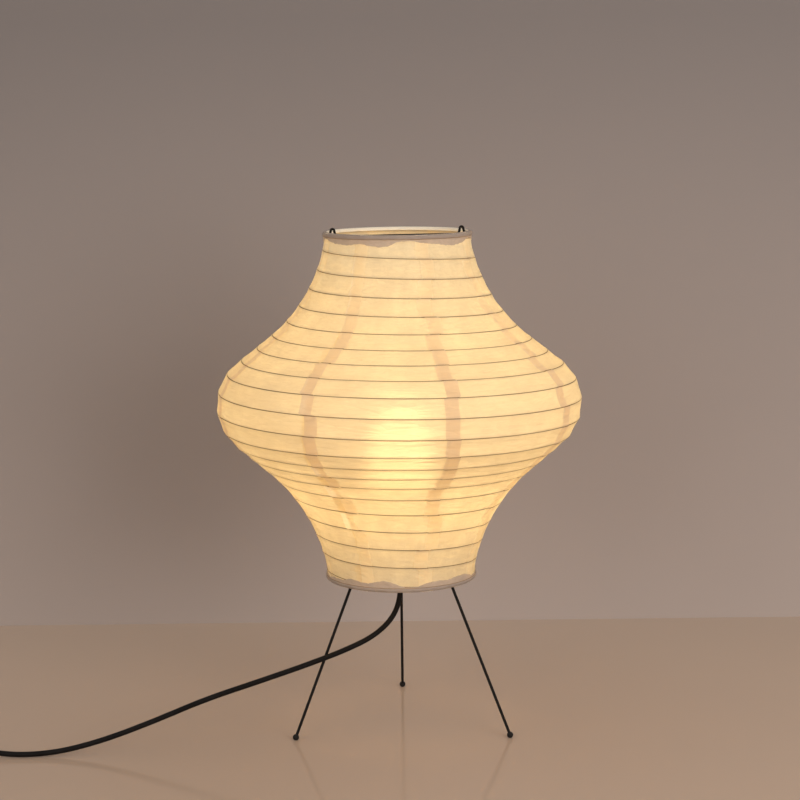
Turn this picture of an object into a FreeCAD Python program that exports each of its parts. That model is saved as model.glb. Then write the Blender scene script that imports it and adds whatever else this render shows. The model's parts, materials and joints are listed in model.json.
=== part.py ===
import FreeCAD, Part
import math
import os
import re
import Sketcher
from FreeCAD import Placement, Rotation, Vector

# A paper table lamp: a lantern shade of pasted paper gores over one spiral rib, stretched
# between two wire rings by a bent wire, on a tripod of wire legs with ball feet.  A lampholder
# with its bulb stands on the hub of the tripod, and the flex leaves it straight down.
# Millimetres.  The floor is z = 0, the lamp's axis is Z, and the front is -Y.

# Driving dimensions: each is one cell of the sheet, with its name as the alias.
DRIVING = {
    # tripod
    "foot_circle": 127.0,       # radius of the circle through the ball feet
    "foot_ball": 6.5,           # diameter of a ball foot
    "foot_flat": 0.3,           # depth of the flat that a ball stands on
    "leg_wire": 3.0,
    "knee_radius": 41.0,        # where a leg turns from level to sloping
    "knee_height": 195.0,
    "knee_bend": 9.0,
    "leg_tip_radius": 11.5,     # inner end of a leg, under the hub
    "catch_wire": 2.0,          # finger on each leg that holds the bottom ring down
    "hub_radius": 30.0,
    "hub_thickness": 2.0,
    "weld_gap": 0.1,
    "turning_gap": 0.1,         # play round screwed and slipped-on pieces
    # shade
    "shade_bottom": 157.0,
    "shade_height": 360.0,
    "top_mouth": 75.0,          # outer radius of the paper at the top ring
    "bottom_mouth": 77.0,
    "belly_radius": 188.5,
    "belly_height": 184.0,      # widest place of the shade, above its bottom edge
    "belly_bend": 52.0,         # radius of the round of the belly
    "lower_waist_bend": 186.0,  # radius of the hollow between a mouth and the belly
    "upper_waist_bend": 163.0,
    "waist_lean": 10.0,         # lean of the paper where it leaves the hem, degrees
    "hem_depth": 9.0,
    "paper_wall": 0.4,
    "paper_gap": 0.3,           # glue line between two papers
    "gore_count": 8,
    "first_seam": -119.5,       # direction of one seam, degrees from +X
    "seam_lap": 14.0,           # width of a pasted seam at the belly
    "ring_wire": 3.0,
    "rib_wire": 1.2,
    "rib_pitch": 20.6,          # spacing of the rib's turns along the paper
    "rib_front_start": 26.3,    # lowest crossing of the front, along the paper
    "rib_rise": 7.3,            # most that the turns sit high on the paper
    "rib_rise_at": 121.0,       # place of that, along the paper
    "rib_rise_width": 30.0,
    # stretcher wire
    "stretcher_wire": 2.6,
    "stretcher_turn": 9.5,      # direction of the wire's plane, degrees from +X
    "stretcher_bend": 8.0,
    "stretcher_start": 20.0,    # inner end of each arm on the hub
    "hook_height": 9.2,         # top of the kink over the shade's top edge
    "hook_width": 6.0,
    "hook_bend": 1.7,
    "bar_drop": 4.3,            # crossbar below the shade's top edge
    # lampholder
    "nipple_radius": 5.0,
    "nipple_play": 0.45,        # air between the nipple and the flex in it
    "nipple_below": 13.0,       # length of nipple under the hub
    "nut_flats": 14.0,
    "nut_thickness": 2.8,
    "washer_radius": 8.0,
    "washer_thickness": 1.0,
    "base_radius": 18.0,
    "base_floor": 3.2,
    "base_ledge_height": 12.4,  # seat of the insulator over the hub
    "base_height": 20.4,
    "base_wall": 2.4,
    "insulator_thickness": 4.0,
    "shell_radius": 18.6,
    "shell_height": 24.0,
    "thread_radius": 14.3,
    "thread_wall": 0.5,
    "thread_height": 24.0,
    "contact_height": 7.0,      # centre contact over the insulator
    "contact_stem": 2.9,
    "contact_flange": 6.0,
    "contact_post": 2.5,
    "contact_tip": 1.5,
    "holder_chamfer": 1.5,
    "terminal_offset": 9.5,
    "terminal_head": 2.6,
    "terminal_shank": 1.5,
    "lead_wire": 1.8,
    "grip_length": 28.0,
    "grip_radius": 7.5,
    "grip_mouth_radius": 4.6,
    # bulb
    "bulb_radius": 30.0,
    "bulb_centre": 76.0,        # middle of the round over the bulb's contact
    "bulb_wall": 1.0,
    "bulb_neck": 12.0,
    "bulb_shoulder": 90.0,      # radius of the curve from neck to round
    "bulb_touch": 0.62,         # depth of that curve's end below the round, per radius
    "cap_radius": 13.1,
    "cap_rim": 13.6,
    "cap_wall": 0.7,
    "cap_length": 26.0,
    "cap_taper": 3.0,           # height of the cap's tapered foot
    "rim_height": 2.0,
    "bulb_tip_radius": 4.5,
    "bulb_tip_height": 1.5,
    "bulb_tip_flare": 0.5,
    "bulb_insulator_height": 2.3,
    "bulb_clearance": 0.2,
    "stem_radius": 3.5,
    "stem_foot": 7.0,
    "stem_disc": 3.0,           # height of the disc that carries the filaments
    "filament_radius": 1.0,
    "filament_length": 30.0,
    "filament_circle": 9.0,
    # cord, switch and plug
    "cord": 5.5,
    "cord_run_in": 20.0,        # straight flex outside each end of the switch
    "cord_inside": 4.0,         # length of flex that a switch wall holds
    "plug_run": 22.0,           # straight flex from the coil to the plug
    "loop_radius": 40.0,        # outermost turn of the coil
    "loop_gap": 0.55,           # air between turns side by side
    "layer_gap": 0.5,           # air between the two layers
    "tie_wall": 0.8,
    "tie_gap": 0.35,
    "tie_width": 9.0,
    "switch_length": 62.0,
    "switch_width": 28.0,
    "switch_height": 20.0,
    "switch_corner": 9.0,
    "switch_edge": 2.5,
    "switch_wall": 2.0,
    "rocker_width": 12.0,
    "rocker_swing": 13.2,       # radius of the rocker's ends about its pin
    "rocker_reach": 10.0,       # half length of the rocker's face
    "rocker_dip": 1.4,          # hollow in the middle of the face
    "rocker_tilt": 8.0,         # tilt each way, degrees
    "rocker_gap": 0.4,
    "pivot_drop": 7.0,          # pin below the top of the switch
    "pin_radius": 1.0,
    "post_thickness": 3.0,
    "post_length": 6.0,
    "post_over_pin": 2.5,
    "rocker_depth": 3.0,        # rocker below its pin
    "strip_length": 6.0,
    "strip_width": 5.0,
    "strip_thickness": 1.0,
    "head_recess": 0.3,
    "screw_head": 2.6,
    "screw_shank": 1.4,
    "screw_along": 19.0,
    "screw_across": 8.0,
    "plug_length": 32.0,
    "plug_width": 25.0,
    "plug_round": 5.0,
    "boot_length": 24.0,
    "boot_collar": 3.0,
    "boot_radius": 6.0,
    "boot_mouth_radius": 4.2,
    "blade_length": 18.0,
    "blade_width": 6.3,
    "blade_thickness": 1.5,
    "blade_spacing": 12.7,
}

# Sizes and places that follow from the driving dimensions.
DERIVED = {
    "ball_height": "foot_ball / 2 - foot_flat",
    "leg_slope": "(knee_height - ball_height) / (foot_circle - knee_radius)",
    "hub_bottom": "knee_height + leg_wire / 2 + weld_gap",
    "hub_top": "hub_bottom + hub_thickness",
    "shade_top": "shade_bottom + shade_height",
    "paper_step": "paper_wall + paper_gap",
    "top_ring_radius": "top_mouth - paper_step - ring_wire / 2",
    "bottom_ring_radius": "bottom_mouth - paper_step - ring_wire / 2",
    "top_ring_height": "shade_top - paper_gap - ring_wire / 2",
    "bottom_ring_height": "shade_bottom + paper_gap + ring_wire / 2",
    "catch_height": "bottom_ring_height + ring_wire / 2 + weld_gap + catch_wire / 2",
    "arm_height": "hub_top + weld_gap + stretcher_wire / 2",
    "ring_clear": "(ring_wire + stretcher_wire) / 2 + weld_gap",
    "bar_height": "shade_top - bar_drop",
    "washer_bottom": "hub_bottom - washer_thickness",
    "screwed_radius": "nipple_radius + turning_gap",
    "ledge": "hub_top + base_ledge_height",
    "base_top": "hub_top + base_height",
    "cup_radius": "base_radius - base_wall",
    "deck": "ledge + insulator_thickness",
    "contact_top": "deck + contact_height",
    "nipple_bottom": "hub_bottom - nipple_below",
    "grip_top": "washer_bottom - nut_thickness - turning_gap",
    "grip_bottom": "grip_top - grip_length",
    "grip_bore": "cord / 2 + turning_gap",
    "nipple_bore": "cord / 2 + nipple_play",
    "bulb_bottom": "contact_top + bulb_clearance",
    "bulb_middle": "bulb_bottom + bulb_centre",
    "cap_bottom": "bulb_bottom + bulb_tip_height + bulb_insulator_height",
    "cap_top": "bulb_bottom + cap_length",
    "neck_bottom": "cap_bottom + cap_length / 3",
    "loop_pitch": "cord + loop_gap",
    "layer_pitch": "cord + layer_gap",
    "lower_layer": "tie_wall + tie_gap + cord / 2",
    "upper_layer": "lower_layer + layer_pitch",
    "split_height": "switch_height / 2",
    "pivot_height": "switch_height - pivot_drop",
    "switch_inside": "switch_length - 2 * switch_wall",
}

LEGS = {"rear": 90.0, "front_left": 210.0, "front_right": 330.0}

# The flex from under the lampholder to the switch: it drops straight, swings out to the
# front left past the leg, and comes down to the floor.
CORD_ROUTE = [
    (0, 0, 140), (-7, -12, 117), (-27, -30, 101), (-56, -48, 91), (-98, -65, 79.5),
    (-146, -78, 66.5), (-200, -87, 51), (-251, -93, 31), (-300, -101, 14.5),
    (-345, -108, 4.5), (-384, -112, 2.75), (-416, -108, 5.2),
]
CORD_LINE = -104.0              # Y of the switch, and of the flex at both its ends
SWITCH_NEAR_END = -460.0        # X of the switch's end towards the lamp
COIL_START = -571.0             # X where the flex enters the coil
COIL_TURNS = 5.5
BEND_SHARE = 0.45               # share of the shorter run that each bend of a flex takes
VOLUME_SLACK = 0.01             # largest error of a tube's volume, per volume
RIB_TRIES = 1000                # places tried in a turn of the rib

doc = FreeCAD.newDocument("paper_table_lamp")
sheet = doc.addObject("Spreadsheet::Sheet", "dims")
for row, (alias, number) in enumerate(DRIVING.items(), start=1):
    sheet.set(f"A{row}", alias)
    sheet.set(f"B{row}", str(number))
    sheet.setAlias(f"B{row}", alias)
doc.recompute()
parts = []


def expand(formula):
    """The formula with every name traced back to cells of the sheet."""
    def trace(match):
        word = match.group(0)
        if word in DERIVED:
            return f"({expand(DERIVED[word])})"
        return f"dims.{word}" if word in DRIVING else word
    return re.sub(r"[a-z][a-z0-9_]*", trace, formula)


def size(formula):
    return float(sheet.evalExpression(expand(formula)))


def bind(obj, sizes):
    for name, formula in sizes.items():
        obj.setExpression(name, expand(formula))
    return obj


def place(obj, x="0", y="0", z="0"):
    for letter, formula in zip("xyz", (x, y, z)):
        obj.setExpression(f"Placement.Base.{letter}", expand(formula))
    return obj


def sub_part(obj, label):
    obj.Label = label
    parts.append(obj)
    return obj


def primitive(kind, name, sizes, x="0", y="0", z="0"):
    return place(bind(doc.addObject(f"Part::{kind}", name), sizes), x, y, z)


def lying_cylinder(name, radius, height, axis, x="0", y="0", z="0"):
    """A cylinder that starts at a point and runs along an axis other than Z."""
    cylinder = doc.addObject("Part::Cylinder", name)
    cylinder.Placement = Placement(Vector(), Rotation(Vector(0, 0, 1), axis))
    return place(bind(cylinder, {"Radius": radius, "Height": height}), x, y, z)


def cut(name, base, tools):
    for index, tool in enumerate(tools):
        cutter = doc.addObject("Part::Cut", f"{name}_cut_{index}")
        cutter.Base = base
        cutter.Tool = tool
        base = cutter
    return base


def group(name, links):
    compound = doc.addObject("Part::Compound", name)
    compound.Links = links
    return compound


def feature(label, shape):
    """A piece whose shape is worked out from the sheet in this script."""
    obj = doc.addObject("Part::Feature", label)
    obj.Shape = shape
    obj.Placement = Placement()
    return sub_part(obj, label)


def origin_plane(body, role):
    return next(item for item in body.Origin.OriginFeatures if item.Role == role)


def outline(body, role, corners):
    """A closed sketch through corners of formulas; a third entry is the radius of the arc
    from that corner to the next, positive where it bulges to the right of the way on."""
    sketch = body.newObject("Sketcher::SketchObject", f"{body.Name}_outline")
    sketch.AttachmentSupport = (origin_plane(body, role), [""])
    sketch.MapMode = "FlatFace"
    spots = [Vector(size(corner[0]), size(corner[1]), 0) for corner in corners]
    ends = []
    for index, corner in enumerate(corners):
        here, there = spots[index], spots[(index + 1) % len(spots)]
        if len(corner) == 2:
            sketch.addGeometry(Part.LineSegment(here, there), False)
            ends.append((1, 2))
            continue
        radius = size(corner[2])
        chord = there - here
        right = Vector(chord.y, -chord.x, 0).normalize()
        rise = abs(radius) - math.sqrt(radius ** 2 - chord.Length ** 2 / 4)
        middle = (here + there) * 0.5 + right * math.copysign(rise, radius)
        sketch.addGeometry(Part.Arc(here, middle, there), False)
        ends.append((1, 2) if radius > 0 else (2, 1))
        rounding = sketch.addConstraint(Sketcher.Constraint("Radius", index, abs(radius)))
        sketch.setExpression(f"Constraints[{rounding}]", expand(f"abs({corner[2]})"))
    for index, corner in enumerate(corners):
        following = (index + 1) % len(corners)
        sketch.addConstraint(Sketcher.Constraint(
            "Coincident", index, ends[index][1], following, ends[following][0]))
        for kind, formula, axis in (("DistanceX", corner[0], -2), ("DistanceY", corner[1], -1)):
            if formula == "0":
                sketch.addConstraint(
                    Sketcher.Constraint("PointOnObject", index, ends[index][0], axis))
                continue
            number = sketch.addConstraint(
                Sketcher.Constraint(kind, -1, 1, index, ends[index][0], size(formula)))
            sketch.setExpression(f"Constraints[{number}]", expand(formula))
    return sketch


def turned(label, corners):
    """A piece turned about the lamp's axis, from its outline of radii and heights."""
    body = doc.addObject("PartDesign::Body", label)
    turn = body.newObject("PartDesign::Revolution", f"{label}_turn")
    turn.Profile = outline(body, "XZ_Plane", corners)
    turn.ReferenceAxis = (turn.Profile[0], ["V_Axis"])
    turn.Angle = 360
    body.Tip = turn
    return body


def padded(label, role, corners, length):
    """A plate of even thickness, centred on the plane that its outline lies in."""
    body = doc.addObject("PartDesign::Body", label)
    pad = body.newObject("PartDesign::Pad", f"{label}_pad")
    pad.Profile = outline(body, role, corners)
    pad.Midplane = True
    bind(pad, {"Length": length})
    body.Tip = pad
    return body


def arc_mid(start, corner, end):
    """The middle of the arc that touches start-corner and corner-end at its two ends."""
    chord_mid = (start + end) * 0.5
    half_chord = (end - start).Length / 2
    half_turn = (corner - start).getAngle(end - start)
    return chord_mid + (corner - chord_mid).normalize() * half_chord * math.tan(half_turn / 2)


def bent_path(points, bends):
    """Straight runs through the points, joined by tangent arcs of the given radii."""
    edges = []
    here = points[0]
    for index, bend in enumerate(bends, start=1):
        corner = points[index]
        back = (points[index - 1] - corner).normalize()
        on = (points[index + 1] - corner).normalize()
        reach = bend / math.tan(back.getAngle(on) / 2)
        start, end = corner + back * reach, corner + on * reach
        edges.append(Part.LineSegment(here, start).toShape())
        edges.append(Part.Arc(start, arc_mid(start, corner, end), end).toShape())
        here = end
    edges.append(Part.LineSegment(here, points[-1]).toShape())
    return Part.Wire(edges)


def cord_bends(label, points):
    """The largest even bends that a cord's runs leave room for."""
    bends = []
    for back, here, on in zip(points, points[1:], points[2:]):
        half_turn = (here - back).getAngle(on - here) / 2
        run = min((here - back).Length, (on - here).Length)
        bends.append(BEND_SHARE * run / math.tan(half_turn))
    print(label, "bend radii", [round(bend, 1) for bend in bends])
    return bends


def biarc_path(spots, ways):
    """A smooth path of arcs through spots, two arcs from each to the next."""
    edges = []
    for start, end, way_out, way_in in zip(spots, spots[1:], ways, ways[1:]):
        span = end - start
        spread = 2 * (1 - way_out.dot(way_in))
        pull = span.dot(way_out + way_in)
        arm = (math.sqrt(pull ** 2 + spread * span.dot(span)) - pull) / spread
        first, last = start + way_out * arm, end - way_in * arm
        middle = (first + last) * 0.5
        edges.append(Part.Arc(start, arc_mid(start, first, middle), middle).toShape())
        edges.append(Part.Arc(middle, arc_mid(middle, last, end), end).toShape())
    return edges


def tube(label, path, diameter):
    """A round wire or flex along a path, tested against its section times its length."""
    first = path.OrderedEdges[0]
    section = Part.makeCircle(diameter / 2, path.OrderedVertexes[0].Point,
                              first.tangentAt(first.FirstParameter))
    solid = path.makePipeShell([Part.Wire(section)], True, False)
    expected = math.pi * diameter ** 2 / 4 * path.Length
    if abs(solid.Volume / expected - 1) > VOLUME_SLACK:
        raise ValueError(f"{label}: volume {solid.Volume:.0f}, expected {expected:.0f}")
    print(label, "length", round(path.Length, 1))
    return solid


def least_self_gap(path, diameter, skip, spacing):
    """Smallest air between two places of one tube that are at least skip apart along it,
    tried at points of the given spacing."""
    spots = path.discretize(int(path.Length / spacing))
    apart = int(skip / spacing)
    gaps = [(spot - other).Length
            for index, spot in enumerate(spots) for other in spots[index + apart:]]
    return min(gaps) - diameter


# Tripod
def leg_radius(height):
    return size("foot_circle") - (height - size("ball_height")) / size("leg_slope")


def make_tripod():
    wire = size("leg_wire")
    foot = Vector(size("foot_circle"), 0, size("ball_height"))
    knee = Vector(size("knee_radius"), 0, size("knee_height"))
    tip = Vector(size("leg_tip_radius"), 0, size("knee_height"))
    catch_start = Vector(leg_radius(size("catch_height")), 0, size("catch_height"))
    catch_reach = size("bottom_ring_radius + catch_wire / 2") - catch_start.x
    bent = tube("leg", bent_path([tip, knee, foot], [size("knee_bend")]), wire)
    catch = Part.makeCylinder(size("catch_wire") / 2, catch_reach, catch_start, Vector(1, 0, 0))
    leg = bent.fuse(catch)
    for side, angle in LEGS.items():
        turn = Placement(Vector(), Rotation(Vector(0, 0, 1), angle))
        feature(f"leg_{side}", leg).Placement = turn
        make_foot(side, angle, knee - foot)


def make_foot(side, angle, leg_way):
    name = f"foot_{side}"
    ball = primitive("Sphere", f"{name}_ball", {"Radius": "foot_ball / 2"},
                     "foot_circle", "0", "ball_height")
    socket = lying_cylinder(f"{name}_socket", "leg_wire / 2 + turning_gap / 2", "foot_ball",
                            leg_way, "foot_circle", "0", "ball_height")
    ground = primitive("Box", f"{name}_ground",
                       {"Length": "foot_ball", "Width": "foot_ball", "Height": "foot_ball"},
                       "foot_circle - foot_ball / 2", "-foot_ball / 2", "-foot_ball")
    foot = sub_part(cut(name, ball, [socket, ground]), name)
    foot.Placement = Placement(Vector(), Rotation(Vector(0, 0, 1), angle))


def make_hub():
    sub_part(turned("hub_plate", [
        ("screwed_radius", "hub_bottom"), ("hub_radius", "hub_bottom"),
        ("hub_radius", "hub_top"), ("screwed_radius", "hub_top")]), "hub_plate")


# Stretcher: one wire, up both sides of the shade and across the top
def make_stretcher():
    ring, clear = size("top_ring_radius"), size("ring_clear")
    arm, bar, apex = size("arm_height"), size("bar_height"), size("shade_top + hook_height")
    jog = size("top_ring_height") - clear * math.sqrt(2) - size("weld_gap")
    outer_leg = ring - clear - size("weld_gap")
    inner_leg = outer_leg - size("hook_width")
    half = [
        (size("stretcher_start"), arm), (ring, arm), (ring, jog),
        (outer_leg, jog + ring - outer_leg), ((outer_leg + inner_leg) / 2, apex),
        (inner_leg, bar),
    ]
    hook = size("hook_bend")
    half_bends = [size("stretcher_bend"), hook, hook, hook, hook]
    points = [Vector(x, 0, z) for x, z in half] + [Vector(-x, 0, z) for x, z in half[::-1]]
    path = bent_path(points, half_bends + half_bends[::-1])
    wire = feature("stretcher_wire", tube("stretcher_wire", path, size("stretcher_wire")))
    wire.Placement = Placement(Vector(), Rotation(Vector(0, 0, 1), size("stretcher_turn")))


# Lampholder
def hexagon(flats):
    corner = f"{flats} / sqrt(3)"
    return [(f"{corner} * cos({60 * side})", f"{corner} * sin({60 * side})") for side in range(6)]


def make_nuts():
    nuts = []
    for name, middle in (("lower", "washer_bottom - nut_thickness / 2"),
                         ("upper", "hub_top + base_floor + nut_thickness / 2")):
        nut = place(padded(f"{name}_nut", "XY_Plane", hexagon("nut_flats"), "nut_thickness"),
                    z=middle)
        hole = primitive("Cylinder", f"{name}_nut_hole",
                         {"Radius": "screwed_radius", "Height": "nut_thickness * 2"},
                         z=f"{middle} - nut_thickness")
        nuts.append(cut(f"{name}_nut", nut, [hole]))
    sub_part(group("nuts", nuts), "nipple_nuts")


def make_lampholder():
    sub_part(turned("nipple", [
        ("nipple_bore", "nipple_bottom"), ("nipple_radius", "nipple_bottom"),
        ("nipple_radius", "hub_top + base_floor + nut_thickness"),
        ("nipple_bore", "hub_top + base_floor + nut_thickness")]), "holder_nipple")
    make_nuts()
    sub_part(turned("washer", [
        ("screwed_radius", "washer_bottom"), ("washer_radius", "washer_bottom"),
        ("washer_radius", "hub_bottom"), ("screwed_radius", "hub_bottom")]), "lock_washer")
    sub_part(turned("base", [
        ("screwed_radius", "hub_top"), ("base_radius", "hub_top"), ("base_radius", "base_top"),
        ("cup_radius", "base_top"), ("cup_radius", "ledge"), ("cup_radius - base_wall", "ledge"),
        ("cup_radius - base_wall", "hub_top + base_floor"),
        ("screwed_radius", "hub_top + base_floor")]), "holder_base")
    make_insulator()
    floor = "deck + thread_wall"
    sub_part(turned("thread_shell", [
        ("terminal_offset", "deck"), ("thread_radius", "deck"),
        ("thread_radius", "deck + thread_height"),
        ("thread_radius - thread_wall", "deck + thread_height"),
        ("thread_radius - thread_wall", floor), ("terminal_offset", floor)]), "thread_shell")
    sub_part(turned("contact", [
        ("0", "ledge"), ("contact_stem", "ledge"), ("contact_stem", "deck"),
        ("contact_flange", "deck"), ("contact_flange", "deck + thread_wall"),
        ("contact_post", "deck + thread_wall"), ("contact_post", "contact_top - contact_tip"),
        ("contact_tip", "contact_top"), ("0", "contact_top")]), "centre_contact")
    spigot = "cup_radius - turning_gap"
    lining = "thread_radius + 5 * turning_gap"
    sub_part(turned("sleeve", [
        (lining, "deck"), (spigot, "deck"), (spigot, "base_top"), ("shell_radius", "base_top"),
        ("shell_radius", "base_top + shell_height - holder_chamfer"),
        ("shell_radius - holder_chamfer", "base_top + shell_height"),
        (lining, "base_top + shell_height")]), "holder_shell")
    sub_part(turned("grip", [
        ("grip_bore", "grip_bottom"), ("grip_mouth_radius", "grip_bottom"),
        ("grip_radius", "nipple_bottom"), ("grip_radius", "grip_top"),
        ("screwed_radius", "grip_top"), ("screwed_radius", "nipple_bottom - turning_gap"),
        ("grip_bore", "nipple_bottom - turning_gap")]), "cord_grip")
    sub_part(primitive("Cylinder", "cord_inner",
                       {"Radius": "cord / 2", "Height": "hub_bottom - grip_bottom"},
                       z="grip_bottom"), "cord_inner")
    make_terminals()


def make_insulator():
    disc = turned("insulator_disc", [
        ("contact_stem + turning_gap", "ledge"), ("cup_radius - turning_gap", "ledge"),
        ("cup_radius - turning_gap", "deck"), ("contact_stem + turning_gap", "deck")])
    holes = [primitive("Cylinder", f"terminal_hole_{index}",
                       {"Radius": "terminal_shank + turning_gap",
                        "Height": "insulator_thickness * 2"},
                       y=f"{sign} * terminal_offset", z="ledge - insulator_thickness / 2")
             for index, sign in enumerate((1, -1))]
    sub_part(cut("insulator", disc, holes), "holder_insulator")


def make_terminals():
    screws = []
    for index, sign in enumerate((1, -1)):
        head = primitive("Cylinder", f"terminal_head_{index}",
                         {"Radius": "terminal_head", "Height": "terminal_shank"},
                         y=f"{sign} * terminal_offset", z="ledge - terminal_shank")
        shank = primitive("Cylinder", f"terminal_shank_{index}",
                          {"Radius": "terminal_shank", "Height": "insulator_thickness"},
                          y=f"{sign} * terminal_offset", z="ledge - turning_gap")
        screw = doc.addObject("Part::Fuse", f"terminal_screw_{index}")
        screw.Base, screw.Tool = head, shank
        screws.append(screw)
    sub_part(group("terminals", screws), "terminal_screws")
    wire = size("lead_wire")
    beside = wire / 2 + 2 * size("turning_gap")
    under = size("ledge - terminal_shank - turning_gap") - wire / 2
    leads = []
    for sign in (1, -1):
        points = [Vector(0, sign * beside, size("hub_bottom")), Vector(0, sign * beside, under),
                  Vector(0, sign * size("terminal_offset"), under)]
        leads.append(tube("lead_wire", bent_path(points, [wire]), wire))
    feature("lead_wires", Part.Compound(leads))


# Bulb
def make_bulb():
    sub_part(turned("bulb_tip", [
        ("0", "bulb_bottom"), ("bulb_tip_radius", "bulb_bottom"),
        ("bulb_tip_radius + bulb_tip_flare", "bulb_bottom + bulb_tip_height"),
        ("0", "bulb_bottom + bulb_tip_height")]), "bulb_contact")
    sub_part(turned("bulb_washer", [
        ("0", "bulb_bottom + bulb_tip_height"),
        ("bulb_tip_radius + bulb_tip_flare", "bulb_bottom + bulb_tip_height"),
        ("cap_radius - cap_taper", "cap_bottom"), ("0", "cap_bottom")]), "bulb_insulator")
    inside = "cap_radius - cap_wall"
    sub_part(turned("cap", [
        ("0", "cap_bottom"), ("cap_radius - cap_taper", "cap_bottom"),
        ("cap_radius", "cap_bottom + cap_taper"), ("cap_radius", "cap_top - rim_height"),
        ("cap_rim", "cap_top"), (inside, "cap_top"), (inside, "cap_bottom + cap_taper"),
        ("0", "cap_bottom + cap_taper")]), "bulb_cap")
    make_bulb_glass()
    stem_top = "bulb_middle - filament_length / 2"
    disc = "filament_circle + filament_radius"
    sub_part(turned("stem", [
        ("0", "cap_bottom + cap_taper"), ("stem_foot", "cap_bottom + cap_taper"),
        ("stem_foot", "neck_bottom"), ("stem_radius", "neck_bottom + stem_foot"),
        ("stem_radius", f"{stem_top} - stem_disc"), (disc, f"{stem_top} - stem_disc / 3"),
        (disc, stem_top), ("0", stem_top)]), "bulb_stem")
    filaments = []
    for index in range(4):
        angle = 45 + 90 * index
        filaments.append(primitive(
            "Cylinder", f"filament_{index}",
            {"Radius": "filament_radius", "Height": "filament_length"},
            f"filament_circle * cos({angle})", f"filament_circle * sin({angle})",
            stem_top))
    sub_part(group("filaments", filaments), "bulb_filaments")


def make_bulb_glass():
    """Neck, shoulder curve and round, as one shell that is open at the neck."""
    def joint(radius):
        return f"{radius} * sqrt(1 - bulb_touch^2)", f"bulb_middle - {radius} * bulb_touch"

    inner_neck = "bulb_neck - bulb_wall"
    neck_top = "cap_top + rim_height"
    sub_part(turned("glass", [
        (inner_neck, "neck_bottom"), ("bulb_neck", "neck_bottom"),
        ("bulb_neck", neck_top, "-bulb_shoulder"), (*joint("bulb_radius"), "bulb_radius"),
        ("bulb_radius", "bulb_middle", "bulb_radius"),
        ("0", "bulb_middle + bulb_radius"),
        ("0", "bulb_middle + bulb_radius - bulb_wall", "bulb_wall - bulb_radius"),
        ("bulb_radius - bulb_wall", "bulb_middle", "bulb_wall - bulb_radius"),
        (*joint("(bulb_radius - bulb_wall)"), "bulb_shoulder + bulb_wall"),
        (inner_neck, neck_top)]), "bulb_glass")


# Shade
class HalfProfile:
    """One half of the shade's outline, from a mouth to the belly: a straight hem, a hollow
    waist, a straight flank and the round of the belly.  Heights run from the mouth."""

    def __init__(self, mouth, waist_bend, belly_height):
        self.mouth, self.hem = mouth, size("hem_depth")
        self.waist, self.belly = waist_bend, size("belly_bend")
        self.lean = math.radians(size("waist_lean"))
        self.waist_centre = Vector(mouth + self.waist * math.cos(self.lean),
                                   self.hem - self.waist * math.sin(self.lean), 0)
        self.belly_centre = Vector(size("belly_radius") - self.belly, belly_height, 0)
        across = self.belly_centre - self.waist_centre
        both = self.waist + self.belly
        self.flank = math.sqrt(across.Length ** 2 - both ** 2)
        self.steep = math.acos(-both / across.Length) - math.atan2(across.y, across.x)
        self.lengths = [self.hem, self.waist * (self.steep - self.lean), self.flank,
                        self.belly * self.steep]

    def normal(self, lean):
        return Vector(math.cos(lean), -math.sin(lean), 0)

    def on_waist(self, lean, out):
        return self.waist_centre - self.normal(lean) * (self.waist - out)

    def on_belly(self, lean, out):
        return self.belly_centre + self.normal(lean) * (self.belly + out)

    def curves(self, out):
        """The curved part, as lists of 2 or 3 points, at a distance outside the paper."""
        middle = (self.lean + self.steep) / 2
        return [
            [self.on_waist(self.lean, out), self.on_waist(middle, out),
             self.on_waist(self.steep, out)],
            [self.on_waist(self.steep, out), self.on_belly(self.steep, out)],
            [self.on_belly(self.steep, out), self.on_belly(self.steep / 2, out),
             self.on_belly(0, out)],
        ]

    def spot(self, along, out):
        """The point at a length along the paper from the mouth."""
        hem, waist, flank, belly = self.lengths
        if along < hem:
            return Vector(self.mouth + out, along, 0)
        if along < hem + waist:
            return self.on_waist(self.lean + (along - hem) / self.waist, out)
        if along < hem + waist + flank:
            way = Vector(math.sin(self.steep), math.cos(self.steep), 0)
            return self.on_waist(self.steep, out) + way * (along - hem - waist)
        return self.on_belly(self.steep - (along - hem - waist - flank) / self.belly, out)


def shade_spot(halves, along, out):
    """Radius and height at a length along the whole outline, from the bottom mouth."""
    bottom, top = halves
    below = sum(bottom.lengths)
    if along <= below:
        spot = bottom.spot(along, out)
        return spot.x, size("shade_bottom") + spot.y
    spot = top.spot(below + sum(top.lengths) - along, out)
    return spot.x, size("shade_top") - spot.y


def outline_pieces(halves, out, with_hems):
    """The shade's outline from bottom to top, in the XZ plane."""
    bottom, top = halves
    rise, fall = size("shade_bottom"), size("shade_top")
    lower = [[Vector(p.x, 0, rise + p.y) for p in piece] for piece in bottom.curves(out)]
    upper = [[Vector(p.x, 0, fall - p.y) for p in piece[::-1]] for piece in top.curves(out)[::-1]]
    pieces = lower + upper
    if with_hems:
        pieces.insert(0, [Vector(bottom.mouth + out, 0, rise), pieces[0][0]])
        pieces.append([pieces[-1][-1], Vector(top.mouth + out, 0, fall)])
    return pieces


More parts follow.
